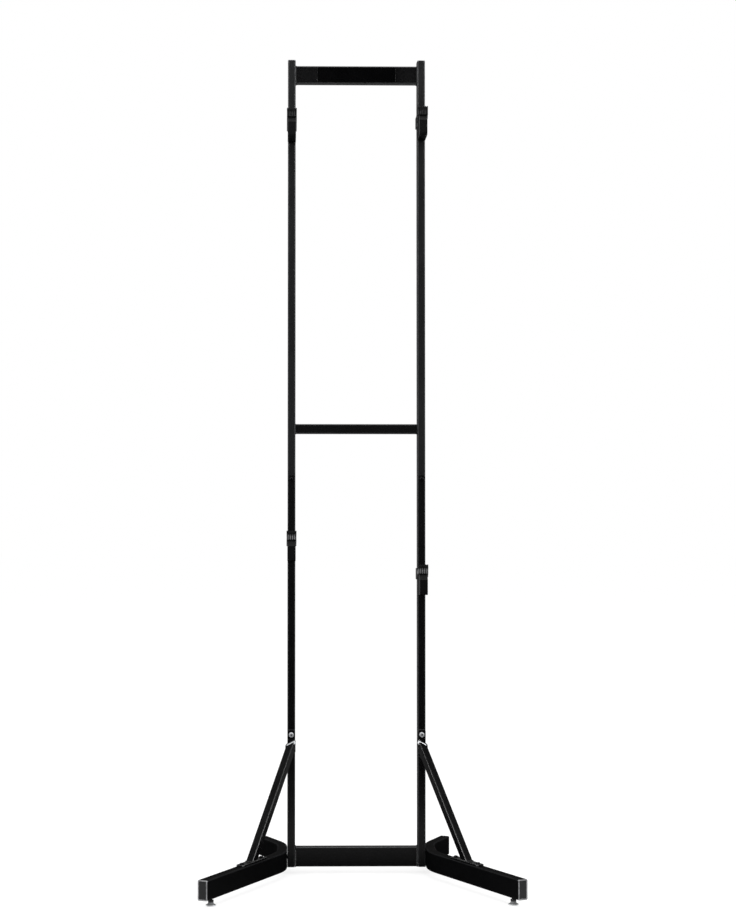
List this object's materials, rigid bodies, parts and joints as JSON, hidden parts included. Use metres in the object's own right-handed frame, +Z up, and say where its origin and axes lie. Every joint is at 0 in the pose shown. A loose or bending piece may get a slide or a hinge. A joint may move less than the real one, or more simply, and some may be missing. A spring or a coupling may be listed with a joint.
{
  "type": "two tier bike rack",
  "caption": "Free-standing storage rack: a tall tube frame on splayed, braced legs with levelling feet, and padded cradles that slide and clamp on its uprights.",
  "frame": {"origin": "middle of the footprint, on the floor", "axes": "+Z up, the front with the cradles towards -Y, +X to the right as seen from the front"},
  "size_m": [0.7686, 0.6076, 2.08],
  "materials": {
    "paint": "satin black powder coat",
    "plastic": "grey moulded",
    "moulding": "black moulded",
    "rubber": "ribbed grey",
    "zinc": "zinc plated",
    "pad": "pale moulded"
  },
  "bodies": {
    "frame": {"base_crossbar": "paint", "mid_crossbar": "paint", "top_panel": "paint", "lower_upright_left": "paint", "upper_upright_left": "paint", "joint_sleeve_left": "zinc", "joint_screw_left": "zinc", "top_cap_left": "plastic", "bottom_plug_left": "plastic", "leg_left": "paint", "leg_end_cap_front_left": "plastic", "leg_end_cap_rear_left": "plastic", "leg_bolt_front_left": "zinc", "leg_bolt_rear_left": "zinc", "brace_left": "paint", "brace_top_bolt_left": "zinc", "brace_foot_bolt_front_left": "zinc", "brace_foot_bolt_rear_left": "zinc", "lower_upright_right": "paint", "upper_upright_right": "paint", "joint_sleeve_right": "zinc", "joint_screw_right": "zinc", "top_cap_right": "plastic", "bottom_plug_right": "plastic", "leg_right": "paint", "leg_end_cap_front_right": "plastic", "leg_end_cap_rear_right": "plastic", "leg_bolt_front_right": "zinc", "leg_bolt_rear_right": "zinc", "brace_right": "paint", "brace_top_bolt_right": "zinc", "brace_foot_bolt_front_right": "zinc", "brace_foot_bolt_rear_right": "zinc"},
    "cradle_upper_left": {"cradle_sleeve_upper_left": "paint", "cradle_arm_upper_left": "moulding", "cradle_saddle_upper_left": "rubber"},
    "knob_upper_left": {"clamp_knob_upper_left": "moulding"},
    "cradle_upper_right": {"cradle_sleeve_upper_right": "paint", "cradle_arm_upper_right": "moulding", "cradle_saddle_upper_right": "rubber"},
    "knob_upper_right": {"clamp_knob_upper_right": "moulding"},
    "cradle_lower_left": {"cradle_sleeve_lower_left": "paint", "cradle_arm_lower_left": "moulding", "cradle_saddle_lower_left": "rubber"},
    "knob_lower_left": {"clamp_knob_lower_left": "moulding"},
    "cradle_lower_right": {"cradle_sleeve_lower_right": "paint", "cradle_arm_lower_right": "moulding", "cradle_saddle_lower_right": "rubber"},
    "knob_lower_right": {"clamp_knob_lower_right": "moulding"},
    "pad_front_left": {"foot_pad_front_left": "pad"},
    "stem_front_left": {"foot_stem_front_left": "zinc"},
    "pad_rear_left": {"foot_pad_rear_left": "pad"},
    "stem_rear_left": {"foot_stem_rear_left": "zinc"},
    "pad_front_right": {"foot_pad_front_right": "pad"},
    "stem_front_right": {"foot_stem_front_right": "zinc"},
    "pad_rear_right": {"foot_pad_rear_right": "pad"},
    "stem_rear_right": {"foot_stem_rear_right": "zinc"}
  },
  "joints": [
    {"name": "cradle_slide_upper_left", "type": "slide", "parent": "frame", "child": "cradle_upper_left", "axis": [0, 0, 1], "range_m": [-0.757, 0.086]},
    {"name": "knob_turn_upper_left", "type": "hinge", "parent": "cradle_upper_left", "child": "knob_upper_left", "pos_m": [-0.166, 0.13568, 1.917], "axis": [0, 1, 0], "range_deg": [0, 360]},
    {"name": "cradle_slide_upper_right", "type": "slide", "parent": "frame", "child": "cradle_upper_right", "axis": [0, 0, 1], "range_m": [-0.763, 0.08]},
    {"name": "knob_turn_upper_right", "type": "hinge", "parent": "cradle_upper_right", "child": "knob_upper_right", "pos_m": [0.166, 0.13568, 1.923], "axis": [0, 1, 0], "range_deg": [0, 360]},
    {"name": "cradle_slide_lower_left", "type": "slide", "parent": "frame", "child": "cradle_lower_left", "axis": [0, 0, 1], "range_m": [-0.427, 0.135]},
    {"name": "knob_turn_lower_left", "type": "hinge", "parent": "cradle_lower_left", "child": "knob_lower_left", "pos_m": [-0.166, 0.13568, 0.847], "axis": [0, 1, 0], "range_deg": [0, 360]},
    {"name": "cradle_slide_lower_right", "type": "slide", "parent": "frame", "child": "cradle_lower_right", "axis": [0, 0, 1], "range_m": [-0.342, 0.22]},
    {"name": "knob_turn_lower_right", "type": "hinge", "parent": "cradle_lower_right", "child": "knob_lower_right", "pos_m": [0.166, 0.13568, 0.762], "axis": [0, 1, 0], "range_deg": [0, 360]},
    {"name": "foot_height_front_left", "type": "slide", "parent": "frame", "child": "pad_front_left", "axis": [0, 0, 1], "range_m": [-0.02, 0.004]},
    {"name": "foot_turn_front_left", "type": "hinge", "parent": "pad_front_left", "child": "stem_front_left", "pos_m": [-0.35495, -0.26165, 0], "axis": [0, 0, 1], "range_deg": [-6000, 1200]},
    {"name": "foot_height_rear_left", "type": "slide", "parent": "frame", "child": "pad_rear_left", "axis": [0, 0, 1], "range_m": [-0.02, 0.004]},
    {"name": "foot_turn_rear_left", "type": "hinge", "parent": "pad_rear_left", "child": "stem_rear_left", "pos_m": [-0.22219, 0.26146, 0], "axis": [0, 0, 1], "range_deg": [-6000, 1200]},
    {"name": "foot_height_front_right", "type": "slide", "parent": "frame", "child": "pad_front_right", "axis": [0, 0, 1], "range_m": [-0.02, 0.004]},
    {"name": "foot_turn_front_right", "type": "hinge", "parent": "pad_front_right", "child": "stem_front_right", "pos_m": [0.35495, -0.26165, 0], "axis": [0, 0, 1], "range_deg": [-6000, 1200]},
    {"name": "foot_height_rear_right", "type": "slide", "parent": "frame", "child": "pad_rear_right", "axis": [0, 0, 1], "range_m": [-0.02, 0.004]},
    {"name": "foot_turn_rear_right", "type": "hinge", "parent": "pad_rear_right", "child": "stem_rear_right", "pos_m": [0.22219, 0.26146, 0], "axis": [0, 0, 1], "range_deg": [-6000, 1200]}
  ],
  "couplings": [
    {"joint": "foot_turn_front_left", "follows": "foot_height_front_left", "rad_per_m": 5026.5},
    {"joint": "foot_turn_rear_left", "follows": "foot_height_rear_left", "rad_per_m": 5026.5},
    {"joint": "foot_turn_front_right", "follows": "foot_height_front_right", "rad_per_m": 5026.5},
    {"joint": "foot_turn_rear_right", "follows": "foot_height_rear_right", "rad_per_m": 5026.5}
  ]
}
